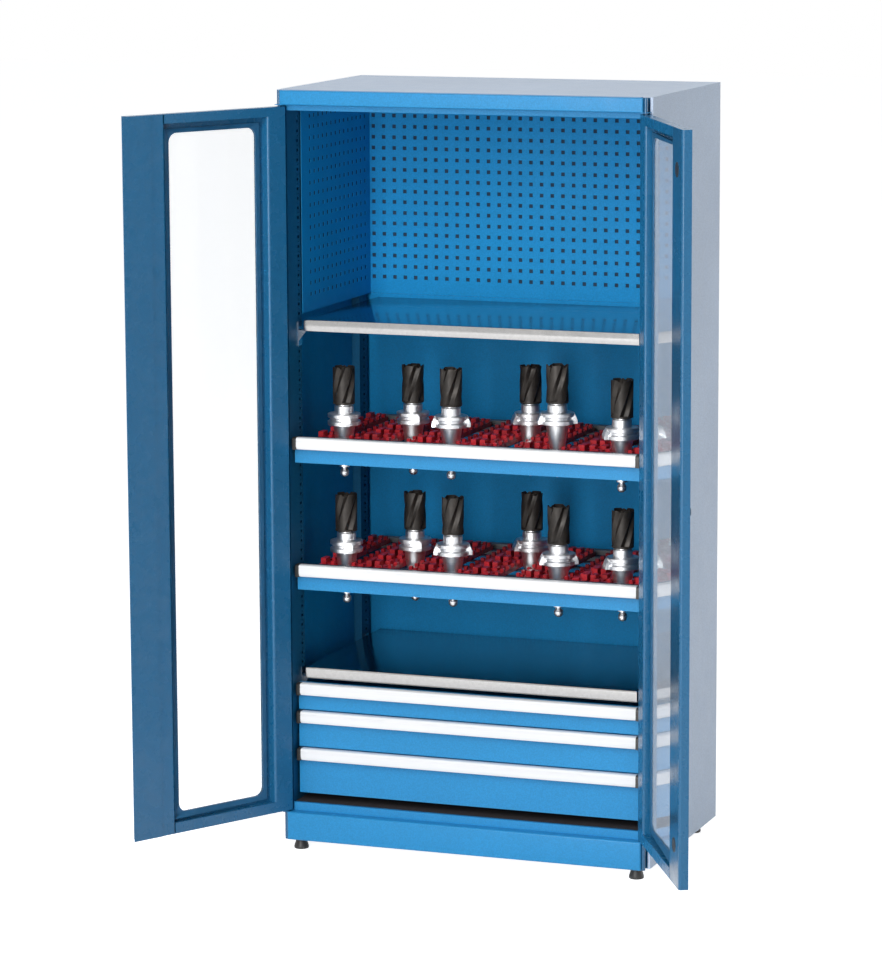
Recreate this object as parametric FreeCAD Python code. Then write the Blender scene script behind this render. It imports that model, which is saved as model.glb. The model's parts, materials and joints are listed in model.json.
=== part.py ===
import FreeCAD, Part
import math
import os

os.makedirs("parts", exist_ok=True)

# Overall size of the cabinet, standing on its feet
overall_width = 1010.0
overall_depth = 615.0
overall_height = 2000.0
foot_height = 30.0

# Sheet metal
panel_sheet = 1.5
perforated_sheet = 1.2
shelf_sheet = 1.2

# Clearances: pieces fastened together, pieces that slide or turn, and cuts
seat_gap = 0.3
running_gap = 0.4
cut_overrun = 5.0

# Front of the carcass
fascia_height = 38.0
kick_height = 75.0
fascia_end_inset = 17.5
side_gap = 5.0
jamb_gap = 7.0
stop_lip_drop = 15.0
ear_end_gap = 2.0
side_return_width = 7.0

# Carcass walls
wall_depth = 25.0
back_space = 12.0
front_upright_width = 87.0
rear_upright_width = 54.0
rear_corner_gap = 21.0
floor_rise = 21.0
floor_door_gap = 6.0
floor_fold = 20.0

# Slots in the uprights
slot_pitch = 25.0
slot_height = 7.0
slot_length = 14.0
slit_height = 2.5
slit_length = 9.0
slot_end_margin = 38.0
front_slot_setback = 72.0
rear_slot_setback = 21.0

# Perforated panels of the upper compartment
hole_size = 10.0
hole_pitch = 30.0
hole_row_pitch = 29.1
perforated_top_gap = 55.0
perforated_shelf_gap = 10.0
perforated_lower_margin = 36.0
perforated_stand_off = 3.0
perforated_edge = 13.0
perforated_front_margin = 45.0
perforated_rear_margin = 22.0

# Levelling feet
foot_base_radius = 19.5
foot_top_radius = 11.0
foot_rim_height = 6.0
foot_stud_radius = 5.0
foot_stud_rise = 18.0
foot_boss_radius = 10.0
foot_boss_height = 12.0
foot_side_inset = 41.0
foot_front_inset = 42.0
foot_rear_inset = 70.0

# Doors
door_thickness = 24.0
door_edge_gap = 4.0
door_meeting_gap = 3.0
door_open_angle = 119.1
door_hinge_inset = 13.5
door_side_gap = 1.0
door_hinge_box = 48.5
door_edge_round = 6.0
door_hinge_round = 3.0
door_return_lip = 12.0
door_top_rail = 24.0
door_bottom_rail = 28.0
door_stile_width = 115.0
window_hinge_margin = 75.5
window_free_margin = 138.5
window_end_margin = 50.0
window_radius = 24.0
pane_thickness = 4.0
pane_overlap = 12.0
hinge_pin_radius = 4.0
hinge_pin_reach = 12.0
hinge_post_radius = 5.5
closing_strip_sheet = 1.5
closing_strip_reach = 15.0
closing_strip_width = 73.0

# Door lock on the right-hand door
lock_rod_radius = 4.0
lock_rod_inset = 32.0
lock_rod_recess = 1.0
lock_rod_engage = 22.0
keeper_hole_radius = 7.0
lock_case_width = 52.0
lock_case_height = 120.0
lock_case_inset = 18.0
lock_height_share = 0.5
handle_axis_inset = 58.0
spindle_radius = 6.0
spindle_reach = 8.0
handle_hub_radius = 17.0
handle_hub_height = 12.0
lever_length = 76.0
lever_width = 22.0
lever_thickness = 7.0
plug_radius = 18.5
plug_height = 1.0
plug_side_inset = 60.0
plug_end_inset = 99.0

# Shelves and their hooked brackets
lower_shelf_gap = 7.0
upper_bay = 342.0
shelf_edge = 30.0
shelf_side_gap = 24.0
upper_shelf_setback = 75.0
lower_shelf_setback = 65.0
shelf_back_gap = 2.0
bracket_sheet = 2.0
bracket_width = 26.0
bracket_ledge = 30.0
bracket_top_gap = 8.0
bracket_drop = 34.0
hook_height = 5.0
hook_length = 10.0
hook_reach = 4.0
gusset_share = 0.8

# Pull handles of the drawers and tool frames
handle_door_gap = 13.0
handle_depth = 20.0
handle_height = 31.0
handle_wall = 2.5
handle_round = 6.0
cap_width = 12.0
cap_side_gap = 6.0
front_side_gap = 7.0
front_fold = 12.0

# Drawers, from the bottom up
drawer_heights = [125.0, 100.0, 75.0]
drawer_floor_gap = 21.0
drawer_front_gap = 3.0
drawer_sheet = 1.2
drawer_box_lift = 10.0
drawer_box_drop = 16.0
tray_side_gap = 34.0
tray_back_gap = 26.0

# Runners on the uprights and the slide bars inside them
runner_sheet = 1.5
runner_setback_gap = 4.0
runner_back_gap = 10.0
slide_bar_height = 10.0
slide_bar_rise = 20.0
slide_bar_bite = 13.0
slide_bar_end_gap = 5.0

# Pull-out tool frames
lower_bay = 208.0
frame_spacing = 338.0
frame_front_height = 68.5
frame_door_clearance = 3.4
frame_deck = 45.0
frame_side_height = 38.0
frame_rail_width = 24.0
frame_rail_height = 20.0
frame_rail_shares = [-0.64, 0.0, 0.64]
frame_bar_width = 16.0
frame_bar_height = 4.0
frame_rear_bar = 24.0
frame_rear_rise = 12.0
first_row_offset = 78.0
row_count = 5
row_end_gap = 13.0
row_gap = 4.0
column_shares = [-0.84, -0.48, -0.171, 0.185, 0.48, 0.87]

# Inserts that hold the tool tapers
insert_gap = 9.0
jaw_height = 12.0
lug_height = 14.0
lug_width = 14.0
lug_length = 30.0

# Tool holders: taper, flange with groove, collar, pull stud and cutter
taper_radius = 29.0
taper_length = 103.0
taper_slope_share = 0.1458
flange_radius = 43.0
flange_height = 31.0
flange_lift = 33.0
groove_depth = 6.0
groove_height = 8.0
key_width = 24.0
key_root = 9.0
key_reach = 8.0
key_foot = 1.5
key_step = 9.0
collar_radius = 25.0
collar_height = 24.0
stud_collar_radius = 14.5
stud_collar_length = 8.0
stud_neck_radius = 6.5
stud_neck_length = 2.5
stud_ball_radius = 12.3
cutter_radius = 29.0
cutter_height = 100.0
flute_width = 10.0
flute_depth = 6.0
flute_count = 4
tooth_depth = 8.0
tool_raises = [0.0, 8.0, 30.0]
tool_turns = [-63.0, -63.0, 20.0, -145.0, -155.0, -145.0]

# Column, row and raise of each tool in the two frames
upper_tools = [(0, 0, 0), (1, 1, 0), (2, 0, 1), (3, 2, 0), (4, 0, 2), (5, 0, 0)]
lower_tools = [(0, 0, 0), (1, 1, 0), (2, 0, 1), (3, 2, 0), (4, 0, 0), (5, 0, 0)]

# Planes and lines of the cabinet worked out from the sizes above
half_width = overall_width / 2
front = -overall_depth / 2
back = overall_depth / 2
body_bottom = foot_height
body_top = overall_height
skin_inner = half_width - panel_sheet
inner_half = half_width - wall_depth
side_front = front + door_thickness + side_gap
jamb_front = front + door_thickness + jamb_gap
floor_front = front + door_thickness + floor_door_gap
back_face = back - back_space
fascia_bottom = body_top - fascia_height
kick_top = body_bottom + kick_height
fascia_half = half_width - fascia_end_inset
floor_top = kick_top + floor_rise
hinge_x = half_width - door_hinge_inset
hinge_y = front + door_thickness / 2
door_bottom = kick_top + door_edge_gap
door_top = fascia_bottom - door_edge_gap
door_free_x = door_meeting_gap / 2
upright_bottom = body_bottom + panel_sheet
upright_top = body_top - panel_sheet
front_upright_back = jamb_front + front_upright_width
rear_upright_back = back_face - rear_corner_gap
rear_upright_front = rear_upright_back - rear_upright_width
slot_base = floor_top + slot_end_margin
drawer_level = floor_top + drawer_floor_gap
lower_shelf_seat = drawer_level + sum(drawer_heights) + lower_shelf_gap
lower_shelf_top = lower_shelf_seat + shelf_edge
lower_frame_level = lower_shelf_top + lower_bay
upper_frame_level = lower_frame_level + frame_spacing
upper_shelf_top = upper_frame_level + upper_bay + shelf_edge
perforated_top = body_top - perforated_top_gap
perforated_bottom = upper_shelf_top + perforated_shelf_gap
handle_front = front + door_thickness + handle_door_gap
panel_front = handle_front + handle_depth
front_half = inner_half - front_side_gap
cap_end = inner_half - cap_side_gap
handle_half = cap_end - cap_width
tray_half = inner_half - tray_side_gap
tray_back = back_face - tray_back_gap
runner_front = panel_front + front_fold + runner_setback_gap
runner_back = back_face - runner_back_gap
first_row_front = handle_front + first_row_offset
row_pitch = (tray_back - frame_rear_bar - row_end_gap - first_row_front) / row_count
upper_frame_pull = handle_door_gap - frame_door_clearance
door_skin = front + panel_sheet
door_inner = front + door_thickness
hinge_side = hinge_x - door_hinge_box
hinge_edge = skin_inner - door_side_gap
stile_wall = door_free_x + panel_sheet
stile_edge = door_free_x + door_stile_width
stile_lip = door_free_x + door_return_lip
window_x0 = door_free_x + window_free_margin
window_x1 = hinge_x - window_hinge_margin
window_z0 = door_bottom + window_end_margin
window_z1 = door_top - window_end_margin
rod_x = door_free_x + lock_rod_inset
handle_x = door_free_x + handle_axis_inset
lock_z = door_bottom + lock_height_share * (door_top - door_bottom)


def box(x0, x1, y0, y1, z0, z1):
    return Part.makeBox(x1 - x0, y1 - y0, z1 - z0, FreeCAD.Vector(x0, y0, z0))


def rod(x, y, z0, z1, radius):
    return Part.makeCylinder(radius, z1 - z0, FreeCAD.Vector(x, y, z0))


def fuse(shapes):
    return shapes[0].multiFuse(shapes[1:]).removeSplitter()


def mirrored(shape):
    return shape.mirror(FreeCAD.Vector(0, 0, 0), FreeCAD.Vector(1, 0, 0))


def both_sides(shape):
    return [mirrored(shape), shape]


def moved(shape, x, y, z):
    return shape.translated(FreeCAD.Vector(x, y, z))


def save(node, *shapes):
    solids = [solid for shape in shapes for solid in shape.Solids]
    Part.makeCompound(solids).exportStep("parts/" + node + ".step")


# A flat plate with square holes, in the plane whose points are given by place(u, v)
def rectangle(place, u0, u1, v0, v1):
    corners = [place(u0, v0), place(u1, v0), place(u1, v1), place(u0, v1)]
    return Part.makePolygon(corners + corners[:1])


def pierced_plate(place, outline, holes, thickness):
    wires = [rectangle(place, *outline)]
    for hole in holes:
        wires.append(rectangle(place, *hole))
    return Part.Face(wires).extrude(thickness)


def spread(low, high, pitch):
    count = max(1, int((high - low) / pitch) + 1)
    start = (low + high - (count - 1) * pitch) / 2
    return [start + pitch * step for step in range(count)]


def side_point(x):
    return lambda y, z: FreeCAD.Vector(x, y, z)


def back_point(y):
    return lambda x, z: FreeCAD.Vector(x, y, z)


# Outer cladding
def side_panel():
    skin = box(skin_inner, half_width, side_front, back, body_bottom, upright_top)
    fold = box(half_width - side_return_width, skin_inner, side_front, side_front + panel_sheet,
               body_bottom, upright_top)
    return fuse([skin, fold])


def top_panel():
    return box(-half_width, half_width, side_front, back, upright_top, body_top)


def rear_cover():
    edge = skin_inner - seat_gap
    return box(-edge, edge, back - panel_sheet, back, body_bottom, upright_top)


def base_panel():
    plate = box(-skin_inner, skin_inner, jamb_front, back - panel_sheet, body_bottom, upright_bottom)
    for x, y in foot_places():
        boss = rod(x, y, upright_bottom, upright_bottom + foot_boss_height, foot_boss_radius)
        bore = rod(x, y, body_bottom - cut_overrun, upright_bottom + foot_boss_height + cut_overrun,
                   foot_stud_radius + running_gap)
        plate = plate.fuse(boss).cut(bore)
    return plate


# Levelling feet: cone on a rim, with a threaded stud
def foot_places():
    x = half_width - foot_side_inset
    places = []
    for y in (front + foot_front_inset, back - foot_rear_inset):
        places.append((-x, y))
        places.append((x, y))
    return places


def foot(x, y):
    seat = body_bottom - seat_gap
    rim = rod(x, y, 0, foot_rim_height, foot_base_radius)
    cone = Part.makeCone(foot_base_radius, foot_top_radius, seat - foot_rim_height,
                         FreeCAD.Vector(x, y, foot_rim_height))
    stud = rod(x, y, seat, seat + foot_stud_rise, foot_stud_radius)
    return fuse([rim, cone, stud])


# Kick plate and fascia: front plate with folds and ears that carry the hinge posts
def ear(z0, z1):
    return box(inner_half - seat_gap, skin_inner - ear_end_gap, front + panel_sheet,
               side_front - seat_gap, z0, z1)


def pin_hole(z0, z1):
    return rod(hinge_x, hinge_y, z0 - cut_overrun, z1 + cut_overrun, hinge_pin_radius + running_gap)


def keeper_hole(z0, z1):
    return rod(rod_x, hinge_y, z0 - cut_overrun, z1 + cut_overrun, keeper_hole_radius)


def kick_plate():
    inner = inner_half - seat_gap
    ledge = kick_top - panel_sheet
    face = box(-fascia_half, fascia_half, front, front + panel_sheet, body_bottom, kick_top)
    shelf = box(-inner, inner, front + panel_sheet, floor_front + panel_sheet, ledge, kick_top)
    foot_fold = box(-inner, inner, front + panel_sheet, jamb_front - seat_gap, body_bottom, upright_bottom)
    plate = fuse([face, shelf, foot_fold] + both_sides(ear(ledge, kick_top)))
    holes = both_sides(pin_hole(ledge, kick_top)) + [keeper_hole(ledge, kick_top)]
    return plate.cut(Part.makeCompound(holes))


def top_fascia():
    inner = inner_half - seat_gap
    ledge = fascia_bottom + panel_sheet
    lip_back = jamb_front + panel_sheet
    face = box(-fascia_half, fascia_half, front, front + panel_sheet, fascia_bottom, body_top)
    top_fold = box(-inner, inner, front + panel_sheet, side_front - seat_gap, upright_top, body_top)
    shelf = box(-inner, inner, front + panel_sheet, lip_back, fascia_bottom, ledge)
    lip = box(-inner, inner, jamb_front, lip_back, fascia_bottom - stop_lip_drop, fascia_bottom)
    plate = fuse([face, top_fold, shelf, lip] + both_sides(ear(fascia_bottom, ledge)))
    holes = both_sides(pin_hole(fascia_bottom, ledge)) + [keeper_hole(fascia_bottom, ledge)]
    return plate.cut(Part.makeCompound(holes))


# Hinge posts stand on the ears, and their pins reach through them into the doors
def hinge_posts():
    upper = fuse([rod(hinge_x, hinge_y, fascia_bottom + panel_sheet, body_top, hinge_post_radius),
                  rod(hinge_x, hinge_y, door_top - hinge_pin_reach, fascia_bottom + panel_sheet,
                      hinge_pin_radius)])
    lower = fuse([rod(hinge_x, hinge_y, body_bottom, kick_top - panel_sheet, hinge_post_radius),
                  rod(hinge_x, hinge_y, kick_top - panel_sheet, door_bottom + hinge_pin_reach,
                      hinge_pin_radius)])
    return both_sides(upper) + both_sides(lower)


# Uprights: channels open towards the side, with a column of slots for hooks
def slot_levels():
    count = int((upright_top - slot_end_margin - slot_base) / slot_pitch)
    return [slot_base + slot_pitch * step for step in range(count)]


def upright(y0, y1, slot_y):
    place = side_point(inner_half)
    holes = []
    for z in slot_levels():
        holes.append((slot_y - slot_length / 2, slot_y + slot_length / 2,
                      z - slot_height / 2, z + slot_height / 2))
        slit_z = z + slot_pitch / 2
        holes.append((slot_y - slit_length / 2, slot_y + slit_length / 2,
                      slit_z - slit_height / 2, slit_z + slit_height / 2))
    outline = (y0, y1, upright_bottom, upright_top)
    web = pierced_plate(place, outline, holes, FreeCAD.Vector(panel_sheet, 0, 0))
    inner = inner_half + panel_sheet
    near = box(inner, skin_inner, y0, y0 + panel_sheet, upright_bottom, upright_top)
    far = box(inner, skin_inner, y1 - panel_sheet, y1, upright_bottom, upright_top)
    return web.multiFuse([near, far])


def front_upright():
    return upright(jamb_front, front_upright_back, jamb_front + front_slot_setback)


def rear_upright():
    return upright(rear_upright_front, rear_upright_back, rear_upright_back - rear_slot_setback)


def side_liner():
    return box(skin_inner - panel_sheet, skin_inner, front_upright_back + seat_gap,
               rear_upright_front - seat_gap, upright_bottom, upright_top)


# Inner walls and floor
def floor_panel():
    edge = inner_half - seat_gap
    floor_back = back_face - seat_gap
    plate = box(-edge, edge, floor_front, floor_back, floor_top - panel_sheet, floor_top)
    strip = box(-edge, edge, floor_front, floor_front + panel_sheet, kick_top, floor_top)
    rear = box(-edge, edge, floor_back - panel_sheet, floor_back, floor_top - floor_fold, floor_top)
    fold = box(edge - panel_sheet, edge, floor_front, floor_back, floor_top - floor_fold, floor_top)
    return fuse([plate, strip, rear] + both_sides(fold))


def inner_back_panel():
    edge = skin_inner - seat_gap
    return box(-edge, edge, back_face, back_face + perforated_sheet, upright_bottom,
               perforated_bottom - seat_gap)


def hole_grid(u_low, u_high):
    half = hole_size / 2
    holes = []
    v_low = perforated_bottom + perforated_lower_margin
    for v in spread(v_low, perforated_top - perforated_edge, hole_row_pitch):
        for u in spread(u_low + perforated_edge, u_high - perforated_edge, hole_pitch):
            holes.append((u - half, u + half, v - half, v + half))
    return holes


def perforated_back_panel():
    edge = skin_inner - seat_gap
    clear = inner_half - seat_gap
    outline = (-edge, edge, perforated_bottom, perforated_top)
    return pierced_plate(back_point(back_face), outline, hole_grid(-clear, clear),
                         FreeCAD.Vector(0, perforated_sheet, 0))


def perforated_side_panel():
    face = inner_half - perforated_stand_off - perforated_sheet
    y0 = front_upright_back + seat_gap
    y1 = back_face - seat_gap
    outline = (y0, y1, perforated_bottom, perforated_top)
    holes = hole_grid(y0 + perforated_front_margin, y1 - perforated_rear_margin)
    return pierced_plate(side_point(face), outline, holes, FreeCAD.Vector(perforated_sheet, 0, 0))


# Shelves are shallow pans turned over, on brackets hooked into the slots
def shelf_half():
    return inner_half - shelf_side_gap


def shelf(top, setback):
    edge = shelf_half()
    y0 = front + setback
    y1 = back_face - shelf_back_gap
    pan = box(-edge, edge, y0, y1, top - shelf_edge, top)
    hollow = box(-edge + shelf_sheet, edge - shelf_sheet, y0 + shelf_sheet, y1 - shelf_sheet,
                 top - shelf_edge - cut_overrun, top - shelf_sheet)
    return pan.cut(hollow)


def hook_level(height):
    step = int((height - slot_base) / slot_pitch)
    return slot_base + slot_pitch * step


def bracket(top, slot_y):
    seat = top - shelf_edge
    wall = inner_half - seat_gap
    y0 = slot_y - bracket_width / 2
    y1 = slot_y + bracket_width / 2
    hook_z = hook_level(seat)
    plate = box(wall - bracket_sheet, wall, y0, y1, hook_z - bracket_drop, top - bracket_top_gap)
    ledge = box(wall - bracket_ledge, wall, y0, y1, seat - bracket_sheet, seat)
    hook = box(wall, inner_half + hook_reach, slot_y - hook_length / 2, slot_y + hook_length / 2,
               hook_z - hook_height / 2, hook_z + hook_height / 2)
    reach = gusset_share * bracket_ledge
    drop = gusset_share * bracket_drop
    level = seat - bracket_sheet
    corners = [FreeCAD.Vector(wall - bracket_sheet, y0, level),
               FreeCAD.Vector(wall - reach, y0, level),
               FreeCAD.Vector(wall - bracket_sheet, y0, level - drop)]
    gusset = Part.Face(Part.makePolygon(corners + corners[:1])).extrude(FreeCAD.Vector(0, bracket_sheet, 0))
    return fuse([plate, ledge, hook, gusset])


def shelf_brackets():
    columns = (jamb_front + front_slot_setback, rear_upright_back - rear_slot_setback)
    pieces = []
    for top in (upper_shelf_top, lower_shelf_top):
        for slot_y in columns:
            pieces += both_sides(bracket(top, slot_y))
    return pieces


# Runners are channels on the uprights, and slide bars run inside them
def runner(level):
    wall = inner_half - seat_gap
    inner = wall - runner_sheet - slide_bar_end_gap - slide_bar_bite
    half = slide_bar_height / 2 + running_gap
    z0 = level + slide_bar_rise - half
    z1 = level + slide_bar_rise + half
    y1 = runner_back
    web = box(wall - runner_sheet, wall, runner_front, y1, z0 - runner_sheet, z1 + runner_sheet)
    lower = box(inner, wall, runner_front, y1, z0 - runner_sheet, z0)
    upper = box(inner, wall, runner_front, y1, z1, z1 + runner_sheet)
    return fuse([web, lower, upper])


def slide_bar(level):
    end = inner_half - seat_gap - runner_sheet - slide_bar_end_gap
    middle = level + slide_bar_rise
    return box(tray_half, end, runner_front, tray_back, middle - slide_bar_height / 2,
               middle + slide_bar_height / 2)


# Front of a drawer or tool frame, with its pull handle and end caps
def front_tray(level, height):
    y1 = panel_front + front_fold
    block = box(-front_half, front_half, panel_front, y1, level, level + height)
    hollow = box(-front_half + panel_sheet, front_half - panel_sheet, panel_front + panel_sheet,
                 y1 + cut_overrun, level + panel_sheet, level + height - panel_sheet)
    return block.cut(hollow)


def handle_outline(x, top):
    z0 = top - handle_height
    bend = handle_round * (1 - math.sqrt(0.5))
    a = FreeCAD.Vector(x, panel_front, z0)
    b = FreeCAD.Vector(x, panel_front, top)
    c = FreeCAD.Vector(x, handle_front + handle_round, top)
    d = FreeCAD.Vector(x, handle_front + bend, top - bend)
    e = FreeCAD.Vector(x, handle_front, top - handle_round)
    f = FreeCAD.Vector(x, handle_front, z0)
    edges = [Part.makeLine(a, b), Part.makeLine(b, c), Part.Arc(c, d, e).toShape(),
             Part.makeLine(e, f), Part.makeLine(f, a)]
    return Part.Face(Part.Wire(edges))


def handle_profile(top):
    bar = handle_outline(-handle_half, top).extrude(FreeCAD.Vector(handle_half + handle_half, 0, 0))
    slot = box(-handle_half - cut_overrun, handle_half + cut_overrun, handle_front + handle_wall,
               panel_front - handle_wall, top - handle_height - cut_overrun, top - handle_wall)
    return bar.cut(slot)


def end_caps(top):
    return both_sides(handle_outline(handle_half, top).extrude(FreeCAD.Vector(cap_width, 0, 0)))


# Drawers: front, welded box of a floor and four walls, and two slide bars
def drawer_box(level, pitch):
    height = pitch - drawer_front_gap
    z0 = level + drawer_box_lift
    z1 = level + height - drawer_box_drop
    y0 = panel_front + panel_sheet
    floor = z0 + drawer_sheet
    inner = tray_half - drawer_sheet
    pieces = [front_tray(level, height), box(-tray_half, tray_half, y0, tray_back, z0, floor)]
    pieces += both_sides(box(inner, tray_half, y0, tray_back, floor, z1))
    for y in (y0, tray_back - drawer_sheet):
        pieces.append(box(-inner, inner, y, y + drawer_sheet, floor, z1))
    return pieces + both_sides(slide_bar(level))


# Tool frames: front, sides, rails from front to back and bars across
def rail_places():
    return [share * tray_half for share in frame_rail_shares]


def row_middle(row):
    return first_row_front + row_pitch * (row + 1 / 2)


def column_middle(column):
    return column_shares[column] * tray_half


def frame_carrier(level):
    y0 = panel_front + panel_sheet
    y1 = tray_back - frame_rear_bar
    deck = level + frame_deck
    rail_top = deck - frame_bar_height
    rail_bottom = rail_top - frame_rail_height
    inner = tray_half - panel_sheet
    pieces = [front_tray(level, frame_front_height)]
    pieces += both_sides(box(inner, tray_half, y0, tray_back, deck - frame_side_height, rail_top))
    pieces += both_sides(slide_bar(level))
    pieces.append(box(-inner, inner, y1, tray_back, rail_bottom, deck + frame_rear_rise))
    for x in rail_places():
        pieces.append(box(x - frame_rail_width / 2, x + frame_rail_width / 2, y0, y1, rail_bottom, rail_top))
    for row in range(row_count + 1):
        y = first_row_front + row_pitch * row
        pieces.append(box(-tray_half, tray_half, y - frame_bar_width / 2, y + frame_bar_width / 2,
                          rail_top, deck))
    return pieces


# Each insert is a pair of jaws, set as far apart as the taper needs at their top
def seat_half(raised):
    depth = flange_lift + raised
    return taper_radius - taper_slope_share * depth + running_gap


def jaw(raised, outer):
    inner = seat_half(raised)
    half = (row_pitch - row_gap) / 2
    base = box(inner, outer, -half, half, 0, jaw_height)
    lug = box(outer - lug_width, outer, -lug_length / 2, lug_length / 2, jaw_height,
              jaw_height + lug_height)
    return fuse([base, lug])


def insert_edges():
    places = [column_middle(column) for column in range(len(column_shares))]
    halfway = [(low + high) / 2 for low, high in zip(places, places[1:])]
    return [-tray_half] + halfway + [tray_half]


def frame_inserts(level, tools):
    raises = {(column, row): tool_raises[step] for column, row, step in tools}
    edges = insert_edges()
    pieces = []
    for column in range(len(column_shares)):
        x = column_middle(column)
        left_reach = x - edges[column] - insert_gap / 2
        right_reach = edges[column + 1] - x - insert_gap / 2
        for row in range(row_count):
            raised = raises.get((column, row), 0)
            for side in (mirrored(jaw(raised, left_reach)), jaw(raised, right_reach)):
                pieces.append(moved(side, x, row_middle(row), level + frame_deck))
    return pieces


# Tool holder standing with its flange's underside at height zero
def holder():
    tip = taper_radius - taper_slope_share * taper_length
    groove_low = (flange_height - groove_height) / 2
    groove_high = groove_low + groove_height
    groove_radius = flange_radius - groove_depth
    top = flange_height + collar_height
    outline = [(0, -taper_length), (tip, -taper_length), (taper_radius, 0), (flange_radius, 0),
               (flange_radius, groove_low), (groove_radius, groove_low),
               (groove_radius, groove_high), (flange_radius, groove_high),
               (flange_radius, flange_height), (collar_radius, flange_height),
               (collar_radius, top), (0, top)]
    return fuse([turned(outline)] + both_sides(drive_key()))


# Wedge on the flange's rim that takes up the spindle's turn
def drive_key():
    root = flange_radius - key_root
    tip = flange_radius + key_reach
    top = flange_height - key_foot
    outline = [(root, key_foot), (tip, key_foot), (tip, key_step), (flange_radius, top), (root, top)]
    points = [FreeCAD.Vector(x, -key_width / 2, z) for x, z in outline]
    face = Part.Face(Part.makePolygon(points + points[:1]))
    return face.extrude(FreeCAD.Vector(0, key_width, 0))


def turned(outline):
    points = [FreeCAD.Vector(radius, 0, height) for radius, height in outline]
    face = Part.Face(Part.makePolygon(points + points[:1]))
    return face.revolve(FreeCAD.Vector(0, 0, 0), FreeCAD.Vector(0, 0, 1), 360)


def pull_stud():
    seat = -taper_length - stud_collar_length
    middle = seat - stud_neck_length - stud_ball_radius
    stud_collar = rod(0, 0, seat, -taper_length, stud_collar_radius)
    neck = rod(0, 0, middle, seat, stud_neck_radius)
    ball = Part.makeSphere(stud_ball_radius, FreeCAD.Vector(0, 0, middle))
    return fuse([stud_collar, neck, ball])


def cutter():
    z0 = flange_height + collar_height
    z1 = z0 + cutter_height
    body = rod(0, 0, z0, z1, cutter_radius)
    inner = cutter_radius - flute_depth
    cuts = []
    for step in range(flute_count):
        flute = box(inner, cutter_radius + cut_overrun, -flute_width / 2, flute_width / 2,
                    z0 + collar_height, z1 + cut_overrun)
        tooth = box(0, cutter_radius + cut_overrun, -flute_width / 2, flute_width / 2,
                    z1 - tooth_depth, z1 + cut_overrun)
        for piece in (flute, tooth):
            piece.rotate(FreeCAD.Vector(0, 0, 0), FreeCAD.Vector(0, 0, 1), 360 * step / flute_count)
            cuts.append(piece)
    return body.cut(cuts[0].multiFuse(cuts[1:]))


def at_tools(shape, level, tools):
    pieces = []
    for turn, (column, row, step) in zip(tool_turns, tools):
        seat = level + frame_deck + jaw_height + flange_lift + tool_raises[step]
        piece = shape.copy()
        piece.rotate(FreeCAD.Vector(0, 0, 0), FreeCAD.Vector(0, 0, 1), turn)
        pieces.append(moved(piece, column_middle(column), row_middle(row), seat))
    return pieces


# Doors, drawn closed on the right-hand side
def rounded(solid, x, y, radius):
    corner = [edge for edge in solid.Edges if edge.BoundBox.ZLength > radius
              and abs(edge.BoundBox.Center.x - x) < seat_gap and abs(edge.BoundBox.Center.y - y) < seat_gap]
    return solid.makeFillet(radius, corner)


# Hollow section along the hinge, round outside and square inside, drawn a wall's inset smaller for its core
def hinge_section(inset, z0, z1):
    x0 = hinge_side + inset
    x1 = hinge_edge - inset
    y0 = front + inset
    y1 = door_inner - inset
    nose = door_thickness / 2 - inset
    turn = Part.makeCircle(nose, FreeCAD.Vector(hinge_x, hinge_y, z0), FreeCAD.Vector(0, 0, 1), -90, 0)
    corners = [FreeCAD.Vector(hinge_x + nose, hinge_y, z0), FreeCAD.Vector(x1, y1, z0),
               FreeCAD.Vector(x0, y1, z0), FreeCAD.Vector(x0, y0, z0), FreeCAD.Vector(hinge_x, y0, z0)]
    sides = [Part.makeLine(start, end) for start, end in zip(corners, corners[1:])]
    section = Part.Face(Part.Wire([turn] + sides)).extrude(FreeCAD.Vector(0, 0, z1 - z0))
    section = rounded(section, x1, y1, door_hinge_round - inset)
    return rounded(section, x0, y1, door_edge_round - inset)


def hinge_tube():
    outer = hinge_section(0, door_bottom, door_top)
    core = hinge_section(panel_sheet, door_bottom + panel_sheet, door_top - panel_sheet)
    return outer.cut(core).cut(pin_hole(door_bottom, door_top))


def window_cut():
    y0 = front - cut_overrun
    y1 = door_skin + cut_overrun
    block = box(window_x0, window_x1, y0, y1, window_z0, window_z1)
    across = [edge for edge in block.Edges if edge.BoundBox.YLength > cut_overrun]
    return block.makeFillet(window_radius, across)


def door_rail(z0, z1):
    end = hinge_side + door_edge_round
    outer = box(stile_edge + seat_gap, end, door_skin, door_inner, z0, z1)
    core = box(stile_edge, end, door_skin, door_inner - panel_sheet,
               z0 + panel_sheet, z1 - panel_sheet)
    return outer.cut(core)


# Free edge: wall and rounded lip, open for the cover between the end plates
def free_stile():
    end = stile_edge + seat_gap
    z0 = door_bottom + panel_sheet
    z1 = door_top - panel_sheet
    inner = door_inner - panel_sheet
    outer = rounded(box(door_free_x, end, door_skin, door_inner, door_bottom, door_top),
                    door_free_x, door_inner, door_edge_round)
    core = rounded(box(stile_wall, end, door_skin, inner, z0, z1),
                   stile_wall, inner, door_edge_round - panel_sheet)
    return outer.cut(core).cut(box(stile_lip, end, inner, door_inner, z0, z1))


def door_panel():
    skin = box(door_free_x, hinge_side, front, door_skin, door_bottom, door_top).cut(window_cut())
    rails = [door_rail(door_top - door_top_rail, door_top),
             door_rail(door_bottom, door_bottom + door_bottom_rail)]
    return fuse([hinge_tube(), skin, free_stile()] + rails)


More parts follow.
